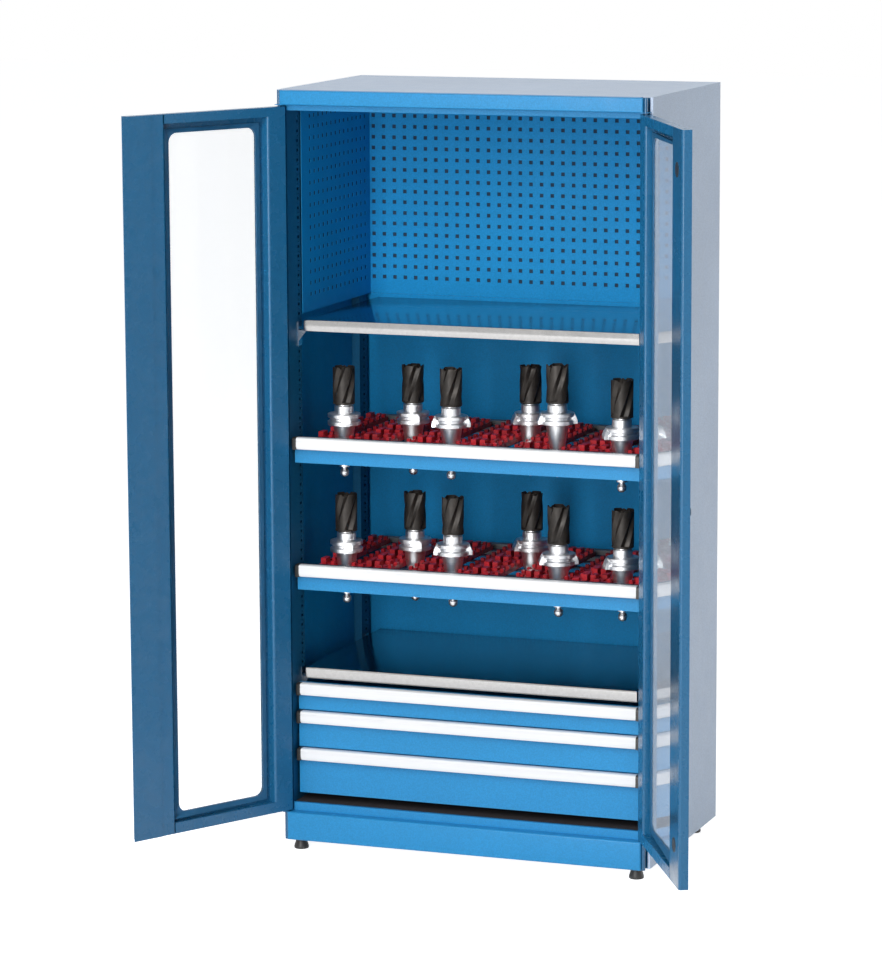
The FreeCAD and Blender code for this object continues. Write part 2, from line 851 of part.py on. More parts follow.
def stile_cover():
    x0 = stile_lip + seat_gap
    y0 = door_skin + seat_gap
    z0 = door_bottom + panel_sheet + seat_gap
    z1 = door_top - panel_sheet - seat_gap
    wall = stile_edge - panel_sheet
    inner = door_inner - panel_sheet
    outer = rounded(box(x0, stile_edge, y0, door_inner, z0, z1), stile_edge, door_inner, door_edge_round)
    core = rounded(box(x0, wall, y0, inner, z0, z1), wall, inner, door_edge_round - panel_sheet)
    return outer.cut(core)


# The left-hand cover carries a strip that reaches behind the right-hand door
def left_stile_cover():
    y0 = door_inner + running_gap
    strip = box(-closing_strip_reach, door_free_x + closing_strip_width, y0, y0 + closing_strip_sheet,
                door_bottom, door_top)
    pad = box(stile_lip + seat_gap, door_free_x + closing_strip_width, door_inner, y0,
              door_bottom + panel_sheet + seat_gap, door_top - panel_sheet - seat_gap)
    return fuse([stile_cover(), pad, strip])


def pane():
    return box(window_x0 - pane_overlap, window_x1 + pane_overlap, door_skin, door_skin + pane_thickness,
               window_z0 - pane_overlap, window_z1 + pane_overlap)


# Lock of the right-hand door: case in the stile, two rods and the handle outside
def across_door(x, z, y0, y1, radius):
    return Part.makeCylinder(radius, y1 - y0, FreeCAD.Vector(x, y0, z), FreeCAD.Vector(0, 1, 0))


def spindle_bore():
    return across_door(handle_x, lock_z, front - cut_overrun, door_inner, spindle_radius + running_gap)


def rod_bore():
    return rod(rod_x, hinge_y, door_bottom - cut_overrun, door_top + cut_overrun,
               lock_rod_radius + running_gap)


def right_door_panel():
    return door_panel().cut(spindle_bore()).cut(rod_bore())


def lock_case():
    x0 = door_free_x + lock_case_inset
    half = lock_case_height / 2
    case = box(x0, x0 + lock_case_width, door_skin + seat_gap, door_inner - panel_sheet - seat_gap,
               lock_z - half, lock_z + half)
    return case.cut(spindle_bore()).cut(rod_bore())


def upper_lock_rod():
    return rod(rod_x, hinge_y, lock_z + lock_case_height / 2 - lock_rod_engage,
               door_top - lock_rod_recess, lock_rod_radius)


def lower_lock_rod():
    return rod(rod_x, hinge_y, door_bottom + lock_rod_recess,
               lock_z - lock_case_height / 2 + lock_rod_engage, lock_rod_radius)


def door_handle():
    y0 = front - running_gap - handle_hub_height
    hub = across_door(handle_x, lock_z, y0, front - running_gap, handle_hub_radius)
    spindle = across_door(handle_x, lock_z, front - running_gap, door_skin + spindle_reach, spindle_radius)
    lever = box(handle_x, handle_x + lever_length, y0, y0 + lever_thickness,
                lock_z - lever_width / 2, lock_z + lever_width / 2)
    return fuse([hub, spindle, lever])


def rod_guide_plugs():
    x = door_free_x + plug_side_inset
    levels = (door_bottom + plug_end_inset, door_top - plug_end_inset)
    return [across_door(x, z, door_inner, door_inner + plug_height, plug_radius) for z in levels]


# Doors stand open at rest
def opened(shape, side):
    turned_shape = shape.copy()
    turned_shape.rotate(FreeCAD.Vector(side * hinge_x, hinge_y, 0), FreeCAD.Vector(0, 0, 1),
                        side * door_open_angle)
    return turned_shape


def save_outer():
    save("left_side_panel", mirrored(side_panel()))
    save("right_side_panel", side_panel())
    save("top_panel", top_panel())
    save("rear_cover", rear_cover())
    save("base_panel", base_panel())
    save("kick_plate", kick_plate())
    save("top_fascia", top_fascia())
    save("hinge_posts", *hinge_posts())
    names = ("foot_front_left", "foot_front_right", "foot_rear_left", "foot_rear_right")
    for name, place in zip(names, foot_places()):
        save(name, foot(*place))


def save_inner():
    save("front_left_upright", mirrored(front_upright()))
    save("front_right_upright", front_upright())
    save("rear_left_upright", mirrored(rear_upright()))
    save("rear_right_upright", rear_upright())
    save("side_liners", *both_sides(side_liner()))
    save("floor_panel", floor_panel())
    save("inner_back_panel", inner_back_panel())
    save("perforated_back_panel", perforated_back_panel())
    save("perforated_left_panel", mirrored(perforated_side_panel()))
    save("perforated_right_panel", perforated_side_panel())
    save("upper_shelf", shelf(upper_shelf_top, upper_shelf_setback))
    save("lower_shelf", shelf(lower_shelf_top, lower_shelf_setback))
    save("shelf_brackets", *shelf_brackets())


def save_drawers():
    names = ("lower_drawer", "middle_drawer", "upper_drawer")
    level = drawer_level
    runners = []
    for name, pitch in zip(names, drawer_heights):
        top = level + pitch - drawer_front_gap
        save(name + "_box", *drawer_box(level, pitch))
        save(name + "_handle", handle_profile(top))
        save(name + "_end_caps", *end_caps(top))
        runners += both_sides(runner(level))
        level += pitch
    save("drawer_runners", *runners)


def save_frame(name, level, pull, tools):
    top = level + frame_front_height
    pieces = {"_carrier": frame_carrier(level), "_handle": [handle_profile(top)],
              "_end_caps": end_caps(top), "_inserts": frame_inserts(level, tools),
              "_tool_holders": at_tools(holder(), level, tools) + at_tools(pull_stud(), level, tools),
              "_cutters": at_tools(cutter(), level, tools)}
    for suffix, shapes in pieces.items():
        save(name + suffix, *[moved(shape, 0, -pull, 0) for shape in shapes])


def save_frames():
    save_frame("upper_frame", upper_frame_level, upper_frame_pull, upper_tools)
    save_frame("lower_frame", lower_frame_level, 0, lower_tools)
    save("frame_runners", *both_sides(runner(upper_frame_level)), *both_sides(runner(lower_frame_level)))


def save_doors():
    save("left_door_panel", opened(mirrored(door_panel()), -1))
    save("left_door_stile_cover", opened(mirrored(left_stile_cover()), -1))
    save("left_door_window", opened(mirrored(pane()), -1))
    save("right_door_panel", opened(right_door_panel(), 1))
    save("right_door_stile_cover", opened(stile_cover(), 1))
    save("right_door_window", opened(pane(), 1))
    save("lock_case", opened(lock_case(), 1))
    save("rod_guide_plugs", *[opened(plug, 1) for plug in rod_guide_plugs()])
    save("door_handle", opened(door_handle(), 1))
    save("upper_lock_rod", opened(upper_lock_rod(), 1))
    save("lower_lock_rod", opened(lower_lock_rod(), 1))


save_outer()
save_inner()
save_drawers()
save_frames()
save_doors()
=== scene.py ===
import bpy
import bmesh
import json
import math
from mathutils import Matrix, Vector

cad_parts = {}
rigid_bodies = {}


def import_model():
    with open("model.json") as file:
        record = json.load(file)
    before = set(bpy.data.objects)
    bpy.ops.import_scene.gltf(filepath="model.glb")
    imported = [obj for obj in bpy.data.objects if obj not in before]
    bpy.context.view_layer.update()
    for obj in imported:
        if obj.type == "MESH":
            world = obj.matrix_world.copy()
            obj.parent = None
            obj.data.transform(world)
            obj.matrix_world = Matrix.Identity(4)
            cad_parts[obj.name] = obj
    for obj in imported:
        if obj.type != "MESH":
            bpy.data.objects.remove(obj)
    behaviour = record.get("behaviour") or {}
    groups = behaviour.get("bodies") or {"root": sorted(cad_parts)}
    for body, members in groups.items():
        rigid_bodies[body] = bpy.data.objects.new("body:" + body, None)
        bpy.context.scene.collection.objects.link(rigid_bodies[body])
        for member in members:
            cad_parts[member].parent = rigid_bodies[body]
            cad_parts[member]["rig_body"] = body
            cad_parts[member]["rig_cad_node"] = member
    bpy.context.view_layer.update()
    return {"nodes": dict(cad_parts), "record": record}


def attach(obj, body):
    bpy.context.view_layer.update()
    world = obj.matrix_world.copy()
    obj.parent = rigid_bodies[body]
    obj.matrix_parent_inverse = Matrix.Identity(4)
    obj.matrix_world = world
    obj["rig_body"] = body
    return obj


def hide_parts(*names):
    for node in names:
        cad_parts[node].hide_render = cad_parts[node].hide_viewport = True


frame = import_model()
nodes = frame["nodes"]
scene = bpy.context.scene
scene.view_settings.view_transform = "Standard"

# Lines of the cabinet that the new pieces follow, in metres
FRONT = -0.3075
SHEET = 0.0015
FASCIA_BOTTOM = 1.962
FASCIA_TOP = 2.000
FASCIA_BACK = -0.2788
STOP_LIP_BOTTOM = 1.947
STOP_LIP_BACK = -0.2750
KICK_BOTTOM = 0.030
KICK_TOP = 0.105
KICK_BACK = -0.2760
COVER_HALF = 0.4875
COVER_PLATE = 0.006
EAR_START = 0.4797
EAR_END = 0.5015
FLOOR_LIT_TO = -0.2680
SHELF_HALF = 0.456
SHELF_TALL = 0.030
SHELF_BACK = 0.2935
SHELVES = {"upper_shelf": (-0.2325, 1.402), "lower_shelf": (-0.2425, 0.484)}
HOLE_SHADE_BOTTOM = 1.440
HOLE_SHADE_TOP = 1.940
FOOT_X = 0.464
FOOT_FRONT_INSET = 0.042
FOOT_REAR_INSET = 0.070

# Pull-outs: handles, frames, drawers and tools
HANDLE_FRONT = -0.2705
PANEL_FRONT = -0.2505
HANDLE_HALF = 0.462
HANDLE_TALL = 0.031
HANDLE_SKIN = 0.0028
HANDLE_CROWN = 0.006
GROOVE_TOP = 0.0076
GROOVE_BOTTOM = 0.0100
GROOVE_DEPTH = 0.0020
CAP_END = 0.474
TRAY_HALF = 0.446
REAR_RAIL = 0.2450
ROW_PITCH = 0.085
ROW_GAP = 0.004
FIRST_ROW = -0.1500
ROWS = 5
DECK = 0.045
FRAME_HANDLE_TOP = 0.0685
SEAT_HALF = 0.0246
SEAT_RISE = 0.033
TAPER_SHARE = 0.1458
JAW_TALL = 0.012
JAW_LUG = 0.014
JAW_RIM = 0.009
INSERT_GAP = 0.009
FRAMES = {"upper_frame": (1.030, 0.0096), "lower_frame": (0.692, 0.0)}
DRAWER_TOPS = {"lower_drawer": 0.269, "middle_drawer": 0.369, "upper_drawer": 0.444}
COLUMNS = [share * TRAY_HALF for share in (-0.84, -0.48, -0.171, 0.185, 0.48, 0.87)]
# Column, row and extra height of each tool, from left to right
TOOLS = {
    "upper_frame": [(0, 0, 0.0), (1, 1, 0.0), (2, 0, 0.008), (3, 2, 0.0), (4, 0, 0.030), (5, 0, 0.0)],
    "lower_frame": [(0, 0, 0.0), (1, 1, 0.0), (2, 0, 0.008), (3, 2, 0.0), (4, 0, 0.0), (5, 0, 0.0)]}
KEY_TURNS = (-63.0, -63.0, 20.0, -145.0, -155.0, -145.0)
CUTTER_TURNS = (10.0, 48.0, 75.0, 31.0, 62.0, 5.0)
FLUTES = 4
FLUTE_SHARES = {1: 0.93, 2: 0.82, 3: 0.77, 4: 0.80, 5: 0.90}
FLUTE_STEPS = 16
FLUTE_RISE = 0.0058
FLUTE_TURN = math.radians(-4.2)

# Right door in its closed place; the left door mirrors it
HINGE_X = 0.4915
HINGE_Y = -0.2955
DOOR_OPEN = math.radians(119.1)
DOOR_INNER = -0.2835
PANE_INNER = -0.302
SEAL_BACK = -0.2988
SEAL_WIDTH = 0.012
WINDOW_FREE_EDGE = 0.140
WINDOW_ROUND = 0.024
PLUG_X = 0.0615
PLUG_LEVELS = (0.208, 1.859)
LEVER_X = 0.0595
LEVER_Z = 1.0335
LEVER_SEAT = -0.3079
LEVER_LENGTH = 0.076
MIRROR = Matrix.Scale(-1.0, 4, (1.0, 0.0, 0.0))

# Camera fitted to the carcass's corners
IMAGE_TALL = 960
FOCAL_PIXELS = 4041.55
SENSOR_TALL = 36.0
EYE = (3.515, -9.8629, 2.7094)
EYE_TURN = math.radians(20.46)
EYE_TILT = math.radians(9.44)
EYE_ROLL = math.radians(-0.28)


# Camera at the photograph's viewing angle
def place_camera():
    turn, tilt, roll = EYE_TURN, EYE_TILT, EYE_ROLL
    ahead = Vector((-math.sin(turn) * math.cos(tilt), math.cos(turn) * math.cos(tilt), -math.sin(tilt)))
    side = Vector((math.cos(turn), math.sin(turn), 0.0))
    above = side.cross(ahead)
    right = side * math.cos(roll) + above * math.sin(roll)
    up = above * math.cos(roll) - side * math.sin(roll)
    lens = bpy.data.cameras.new("camera")
    lens.sensor_fit = "VERTICAL"
    lens.sensor_height = SENSOR_TALL
    lens.lens = FOCAL_PIXELS / IMAGE_TALL * SENSOR_TALL
    lens.clip_end = 200.0
    eye = bpy.data.objects.new("camera", lens)
    scene.collection.objects.link(eye)
    eye.matrix_world = Matrix((
        (right.x, up.x, -ahead.x, EYE[0]),
        (right.y, up.y, -ahead.y, EYE[1]),
        (right.z, up.z, -ahead.z, EYE[2]),
        (0.0, 0.0, 0.0, 1.0)))
    scene.camera = eye


# Studio: pale floor, white surround and soft lamps
def seen_directly(tree):
    path = tree.nodes.new("ShaderNodeLightPath")
    seen = path.outputs["Is Camera Ray"]
    for other in ("Is Glossy Ray", "Is Transmission Ray"):
        either = tree.nodes.new("ShaderNodeMath")
        either.operation = "MAXIMUM"
        tree.links.new(seen, either.inputs[0])
        tree.links.new(path.outputs[other], either.inputs[1])
        seen = either.outputs[0]
    return seen


def white_surround():
    world = bpy.data.worlds.new("studio")
    scene.world = world
    world.use_nodes = True
    tree = world.node_tree
    tree.nodes.clear()
    fill = tree.nodes.new("ShaderNodeBackground")
    fill.inputs["Color"].default_value = (0.90, 0.95, 1.0, 1.0)
    fill.inputs["Strength"].default_value = 0.13
    shown = tree.nodes.new("ShaderNodeBackground")
    shown.inputs["Color"].default_value = (1.0, 1.0, 1.0, 1.0)
    mix = tree.nodes.new("ShaderNodeMixShader")
    out = tree.nodes.new("ShaderNodeOutputWorld")
    tree.links.new(seen_directly(tree), mix.inputs[0])
    tree.links.new(fill.outputs[0], mix.inputs[1])
    tree.links.new(shown.outputs[0], mix.inputs[2])
    tree.links.new(mix.outputs[0], out.inputs[0])


def pale_floor():
    start_fresh()
    bpy.ops.mesh.primitive_plane_add(size=60.0, location=(0.0, 0.0, -0.0005))
    floor = bpy.context.active_object
    floor.name = "floor"
    bpy.ops.object.transform_apply(location=True, rotation=True, scale=True)
    made = bpy.data.materials.new("floor_paper")
    made.use_nodes = True
    tree = made.node_tree
    tree.nodes.clear()
    paper = tree.nodes.new("ShaderNodeBsdfDiffuse")
    paper.inputs["Color"].default_value = (0.86, 0.86, 0.87, 1.0)
    glow = tree.nodes.new("ShaderNodeEmission")
    level = tree.nodes.new("ShaderNodeMath")
    level.operation = "MULTIPLY"
    level.inputs[1].default_value = 0.89
    tree.links.new(seen_directly(tree), level.inputs[0])
    tree.links.new(level.outputs[0], glow.inputs["Strength"])
    both = tree.nodes.new("ShaderNodeAddShader")
    out = tree.nodes.new("ShaderNodeOutputMaterial")
    tree.links.new(paper.outputs[0], both.inputs[0])
    tree.links.new(glow.outputs[0], both.inputs[1])
    tree.links.new(both.outputs[0], out.inputs[0])
    floor.data.materials.append(made)


def soft_lamp(name, place, target, size, power):
    lamp = bpy.data.lights.new(name, "AREA")
    lamp.shape = "RECTANGLE"
    lamp.size = size[0]
    lamp.size_y = size[1]
    lamp.energy = power
    holder = bpy.data.objects.new(name, lamp)
    scene.collection.objects.link(holder)
    holder.location = place
    aim = Vector(target) - Vector(place)
    holder.rotation_euler = aim.to_track_quat("-Z", "Y").to_euler()


# Hand work on a mesh: selecting by place or normal, then bevel, inset, cut, turn and copy
def start_fresh():
    if bpy.context.mode != "OBJECT":
        bpy.ops.object.mode_set(mode="OBJECT")
    bpy.ops.object.select_all(action="DESELECT")


def take(piece):
    start_fresh()
    piece.select_set(True)
    bpy.context.view_layer.objects.active = piece


def middle(part):
    total = Vector((0.0, 0.0, 0.0))
    for corner in part.verts:
        total += corner.co
    return total / len(part.verts)


def pick(piece, kind, test):
    take(piece)
    bpy.ops.object.mode_set(mode="EDIT")
    bpy.ops.mesh.select_mode(type=kind)
    bpy.ops.mesh.select_all(action="DESELECT")
    shape = bmesh.from_edit_mesh(piece.data)
    parts = {"VERT": shape.verts, "EDGE": shape.edges, "FACE": shape.faces}[kind]
    for part in parts:
        if test(part):
            part.select_set(True)
    bmesh.update_edit_mesh(piece.data)


def done():
    bpy.ops.object.mode_set(mode="OBJECT")


def named(piece, name):
    piece.name = name
    piece.data.name = name
    return piece


def block(name, low, high):
    start_fresh()
    bpy.ops.mesh.primitive_cube_add(size=1.0, location=[(a + b) / 2 for a, b in zip(low, high)])
    piece = bpy.context.active_object
    piece.scale = [b - a for a, b in zip(low, high)]
    bpy.ops.object.transform_apply(location=True, rotation=True, scale=True)
    return named(piece, name)


def round_edges(piece, test, radius, steps):
    pick(piece, "EDGE", test)
    bpy.ops.mesh.bevel(offset=radius, segments=steps, profile=0.5, affect="EDGES")
    done()


def sink(piece, test, rim, depth):
    pick(piece, "FACE", test)
    bpy.ops.mesh.inset(thickness=rim, depth=0.0)
    bpy.ops.mesh.extrude_region_move(TRANSFORM_OT_translate={"value": depth})
    done()


def level_edge(edge):
    return abs(edge.verts[0].co.z - edge.verts[1].co.z) < 1e-5


def cut_across(piece, place, normal):
    take(piece)
    bpy.ops.object.mode_set(mode="EDIT")
    bpy.ops.mesh.select_all(action="SELECT")
    bpy.ops.mesh.bisect(plane_co=place, plane_no=normal)
    done()


def turned(name, outline, sides):
    start_fresh()
    radius, height = outline[0]
    bpy.ops.mesh.primitive_circle_add(vertices=sides, radius=radius, fill_type="NGON",
                                      location=(0.0, 0.0, height))
    piece = bpy.context.active_object
    bpy.ops.object.transform_apply(location=True, rotation=True, scale=True)
    bpy.ops.object.mode_set(mode="EDIT")
    bpy.ops.mesh.select_mode(type="FACE")
    bpy.ops.mesh.select_all(action="SELECT")
    for wide, high in outline[1:]:
        bpy.ops.mesh.extrude_region_move(TRANSFORM_OT_translate={"value": (0.0, 0.0, high - height)})
        share = wide / radius
        bpy.ops.transform.resize(value=(share, share, 1.0), center_override=(0.0, 0.0, high))
        radius, height = wide, high
    bpy.ops.mesh.select_all(action="SELECT")
    bpy.ops.mesh.normals_make_consistent(inside=False)
    done()
    return named(piece, name)


def smooth(piece, angle=35.0):
    take(piece)
    bpy.ops.object.shade_smooth_by_angle(angle=math.radians(angle))


def twin(piece, matrix):
    other = piece.copy()
    other.data = piece.data.copy()
    other.data.transform(matrix)
    scene.collection.objects.link(other)
    return other


def joined(pieces, name):
    start_fresh()
    for piece in pieces:
        piece.select_set(True)
    bpy.context.view_layer.objects.active = pieces[0]
    bpy.ops.object.join()
    return named(pieces[0], name)


def clear_away(piece):
    bpy.data.objects.remove(piece, do_unlink=True)


def fit(piece, body, slot, finish, *replaced):
    piece.data.materials.clear()
    piece.data.materials.append(finish)
    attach(piece, body)
    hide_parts(*replaced)


def folded_copy(node, name):
    start_fresh()
    piece = nodes[node].copy()
    piece.data = nodes[node].data.copy()
    piece.parent = None
    piece.matrix_world = Matrix.Identity(4)
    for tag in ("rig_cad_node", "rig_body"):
        if tag in piece:
            del piece[tag]
    scene.collection.objects.link(piece)
    take(piece)
    bpy.ops.object.mode_set(mode="EDIT")
    bpy.ops.mesh.select_all(action="SELECT")
    bpy.ops.mesh.remove_doubles(threshold=0.000005)
    bpy.ops.mesh.dissolve_limited(angle_limit=math.radians(0.5))
    done()
    return named(piece, name)


def second_finish(piece, finish, test):
    piece.data.materials.append(finish)
    last = len(piece.data.materials) - 1
    for face in piece.data.polygons:
        if test(face.center):
            face.material_index = last


# Finishes
class Finish:
    def __init__(self, name, colour, rough, metal=0.0):
        self.made = bpy.data.materials.new(name)
        self.made.use_nodes = True
        self.tree = self.made.node_tree
        self.shader = self.tree.nodes["Principled BSDF"]
        self.colour = colour
        self.put("Base Color", (*colour, 1.0))
        self.put("Roughness", rough)
        self.put("Metallic", metal)
        self.place = self.tree.nodes.new("ShaderNodeTexCoord").outputs["Object"]

    def put(self, socket, value):
        self.shader.inputs[socket].default_value = value

    def link(self, source, socket):
        self.tree.links.new(source, socket)

    def grain(self, scale, detail=2.0, stretch=None):
        source = self.place
        if stretch:
            mapping = self.tree.nodes.new("ShaderNodeMapping")
            mapping.inputs["Scale"].default_value = stretch
            self.link(self.place, mapping.inputs["Vector"])
            source = mapping.outputs["Vector"]
        noise = self.tree.nodes.new("ShaderNodeTexNoise")
        noise.inputs["Scale"].default_value = scale
        noise.inputs["Detail"].default_value = detail
        self.link(source, noise.inputs["Vector"])
        return noise.outputs["Fac"]

    def spangle(self, scale):
        cells = self.tree.nodes.new("ShaderNodeTexVoronoi")
        cells.inputs["Scale"].default_value = scale
        self.link(self.place, cells.inputs["Vector"])
        grey = self.tree.nodes.new("ShaderNodeRGBToBW")
        self.link(cells.outputs["Color"], grey.inputs["Color"])
        return grey.outputs["Val"]

    def spread(self, source, low, high, from_low=0.3, from_high=0.7):
        ramp = self.tree.nodes.new("ShaderNodeMapRange")
        ramp.inputs["From Min"].default_value = from_low
        ramp.inputs["From Max"].default_value = from_high
        ramp.inputs["To Min"].default_value = low
        ramp.inputs["To Max"].default_value = high
        self.link(source, ramp.inputs["Value"])
        return ramp.outputs["Result"]

    def rough_from(self, source, low, high):
        self.link(self.spread(source, low, high), self.shader.inputs["Roughness"])

    def colour_between(self, source, dark, light, from_low=0.3, from_high=0.7):
        mix = self.tree.nodes.new("ShaderNodeMix")
        mix.data_type = "RGBA"
        sockets = [s for s in mix.inputs if s.type == "RGBA"]
        sockets[0].default_value = (*[c * dark for c in self.colour], 1.0)
        sockets[1].default_value = (*[min(1.0, c * light) for c in self.colour], 1.0)
        self.link(self.spread(source, 0.0, 1.0, from_low, from_high), mix.inputs[0])
        shown = [s for s in mix.outputs if s.type == "RGBA"][0]
        self.link(shown, self.shader.inputs["Base Color"])
        return shown

    def speckled(self, shown, source, dark, light):
        mix = self.tree.nodes.new("ShaderNodeMix")
        mix.data_type = "RGBA"
        mix.blend_type = "MULTIPLY"
        mix.inputs[0].default_value = 1.0
        sockets = [s for s in mix.inputs if s.type == "RGBA"]
        level = self.spread(source, dark, light)
        grey = self.tree.nodes.new("ShaderNodeCombineColor")
        for channel in grey.inputs[:3]:
            self.link(level, channel)
        self.link(shown, sockets[0])
        self.link(grey.outputs[0], sockets[1])
        result = [s for s in mix.outputs if s.type == "RGBA"][0]
        self.link(result, self.shader.inputs["Base Color"])
        return result

    def bumped(self, source, strength, distance):
        bump = self.tree.nodes.new("ShaderNodeBump")
        bump.inputs["Strength"].default_value = strength
        bump.inputs["Distance"].default_value = distance
        self.link(source, bump.inputs["Height"])
        self.link(bump.outputs["Normal"], self.shader.inputs["Normal"])


def powder_coat(name, colour, rough, gloss=0.35):
    coat = Finish(name, colour, rough)
    coat.put("Specular IOR Level", gloss)
    shown = coat.colour_between(coat.grain(2.2, 3.0), 0.95, 1.04)
    coat.speckled(shown, coat.grain(330.0, 1.0), 0.90, 1.09)
    coat.rough_from(coat.grain(24.0, 3.0), rough - 0.05, rough + 0.06)
    coat.bumped(coat.grain(620.0, 2.0), 0.16, 0.0004)
    return coat.made


def galvanised(name, colour, rough):
    sheet = Finish(name, colour, rough, 1.0)
    sheet.colour_between(sheet.spangle(140.0), 0.97, 1.03, 0.2, 0.8)
    sheet.rough_from(sheet.grain(30.0, 3.0), rough - 0.025, rough + 0.035)
    sheet.bumped(sheet.grain(900.0, 2.0), 0.03, 0.0002)
    return sheet.made


def extruded_white(name):
    bar = Finish(name, (0.85, 0.853, 0.862), 0.36)
    bar.put("Specular IOR Level", 0.45)
    bar.colour_between(bar.grain(1.0, 2.0, (3.0, 600.0, 600.0)), 0.975, 1.015)
    bar.rough_from(bar.grain(1.0, 3.0, (6.0, 900.0, 900.0)), 0.30, 0.42)
    bar.bumped(bar.grain(1.0, 2.0, (4.0, 1200.0, 1200.0)), 0.06, 0.0002)
    return bar.made


def moulded(name, colour, rough, dark=0.85, light=1.12):
    plastic = Finish(name, colour, rough)
    plastic.colour_between(plastic.grain(14.0, 2.0), dark, light)
    plastic.rough_from(plastic.grain(60.0, 3.0), rough - 0.06, rough + 0.08)
    plastic.bumped(plastic.grain(900.0, 2.0), 0.2, 0.0003)
    return plastic.made


def lathe_steel(name, colour, rough):
    steel = Finish(name, colour, rough, 1.0)
    rings = steel.grain(1.0, 2.0, (5.0, 5.0, 1500.0))
    steel.colour_between(steel.grain(35.0, 3.0), 0.93, 1.05)
    steel.rough_from(rings, rough - 0.07, rough + 0.09)
    steel.bumped(rings, 0.05, 0.0003)
    return steel.made


def black_oxide(name):
    steel = Finish(name, (0.022, 0.018, 0.015), 0.46, 0.4)
    steel.colour_between(steel.grain(55.0, 4.0), 0.6, 1.5)
    steel.rough_from(steel.grain(90.0, 3.0), 0.38, 0.56)
    steel.bumped(steel.grain(240.0, 3.0), 0.12, 0.0005)
    return steel.made


def clear_sheet(name):
    sheet = Finish(name, (0.985, 0.993, 1.0), 0.03)
    sheet.put("Transmission Weight", 0.91)
    sheet.put("IOR", 1.27)
    sheet.rough_from(sheet.grain(9.0, 2.0), 0.015, 0.045)
    return sheet.made


# Pull handles: extruded profile with a label groove and a finger hollow underneath
def pull_handle(name, top, pull):
    y0, y1 = HANDLE_FRONT - pull, PANEL_FRONT - pull
    z0 = top - HANDLE_TALL
    bar = block(name, (-HANDLE_HALF, y0, z0), (HANDLE_HALF, y1, top))
    sink(bar, lambda f: f.normal.z < -0.9, HANDLE_SKIN, (0.0, 0.0, HANDLE_TALL - HANDLE_CROWN))
    round_edges(bar, lambda e: abs(middle(e).y - y0) < 1e-5 and abs(middle(e).z - top) < 1e-5, 0.0060, 5)
    round_edges(bar, lambda e: abs(middle(e).y - y0) < 1e-5 and abs(middle(e).z - z0) < 1e-5, 0.0115, 7)
    for level in (top - GROOVE_TOP, top - GROOVE_BOTTOM):
        cut_across(bar, (0.0, y0, level), (0.0, 0.0, 1.0))
    pick(bar, "FACE", lambda f: f.normal.y < -0.9 and abs(middle(f).y - y0) < 1e-5
         and abs(middle(f).z - top + (GROOVE_TOP + GROOVE_BOTTOM) / 2) < 0.0006)
    bpy.ops.mesh.extrude_region_move(TRANSFORM_OT_translate={"value": (0.0, GROOVE_DEPTH, 0.0)})
    done()
    smooth(bar)
    return bar


def end_cap(name, top, pull):
    y0, y1 = HANDLE_FRONT - pull - 0.0006, PANEL_FRONT - pull
    z0 = top - HANDLE_TALL - 0.0008
    z1 = top + 0.0006
    cap = block(name, (HANDLE_HALF, y0, z0), (CAP_END, y1, z1))
    round_edges(cap, lambda e: abs(middle(e).y - y0) < 1e-5 and abs(middle(e).z - z1) < 1e-5, 0.0085, 6)
    round_edges(cap, lambda e: abs(middle(e).x - CAP_END) < 1e-5, 0.0032, 3)
    smooth(cap)
    return cap


def dress_pull(name, top, pull, finishes):
    bar = pull_handle(name + "_grip", top, pull)
    fit(bar, name, "white_aluminium", finishes["white_aluminium"], name + "_handle")
    right = end_cap(name + "_grip_ends", top, pull)
    left = twin(right, MIRROR)
    left.data.flip_normals()
    caps = joined([right, left], name + "_grip_ends")
    fit(caps, name, "black_plastic", finishes["black_plastic"], name + "_end_caps")


# Red socket inserts: two jaws with castellated lugs, each reaching to the middle between two columns
def insert_jaw(outer):
    inner = SEAT_HALF
    half = (ROW_PITCH - ROW_GAP) / 2
    rim, lug = inner + JAW_RIM, outer - JAW_LUG
    centre = (rim + lug) / 2
    jaw = block("jaw", (inner, -half, 0.0), (outer, half, JAW_TALL))
    for y in (-0.027, -0.015, 0.015, 0.027):
        cut_across(jaw, (0.0, y, 0.0), (0.0, 1.0, 0.0))
    for x in (rim, centre, lug):
        cut_across(jaw, (x, 0.0, 0.0), (1.0, 0.0, 0.0))

    def lift(x0, x1, y0, y1, rise):
        pick(jaw, "FACE", lambda f: f.normal.z > 0.9 and abs(middle(f).z - JAW_TALL) < 1e-5
             and x0 < middle(f).x < x1 and y0 < abs(middle(f).y) < y1)
        bpy.ops.mesh.extrude_region_move(TRANSFORM_OT_translate={"value": (0.0, 0.0, rise)})
        done()

    lift(lug, outer, -1.0, 0.015, 0.014)
    lift(inner, rim, 0.015, 0.027, 0.009)
    lift(centre, lug, 0.027, half, 0.008)
    lift(rim, centre, -1.0, 0.015, -0.005)
    lift(lug, outer, 0.027, half, -0.004)
    round_edges(jaw, lambda e: middle(e).z > JAW_TALL + 0.005 and level_edge(e), 0.0012, 1)
    return jaw


def insert_jaws():
    edges = [-TRAY_HALF] + [(a + b) / 2 for a, b in zip(COLUMNS, COLUMNS[1:])] + [TRAY_HALF]
    pairs = []
    for x, low, high in zip(COLUMNS, edges, edges[1:]):
        right = insert_jaw(high - x - INSERT_GAP / 2)
        left = insert_jaw(x - low - INSERT_GAP / 2)
        left.data.transform(MIRROR)
        left.data.flip_normals()
        pairs.append((left, right))
    return pairs


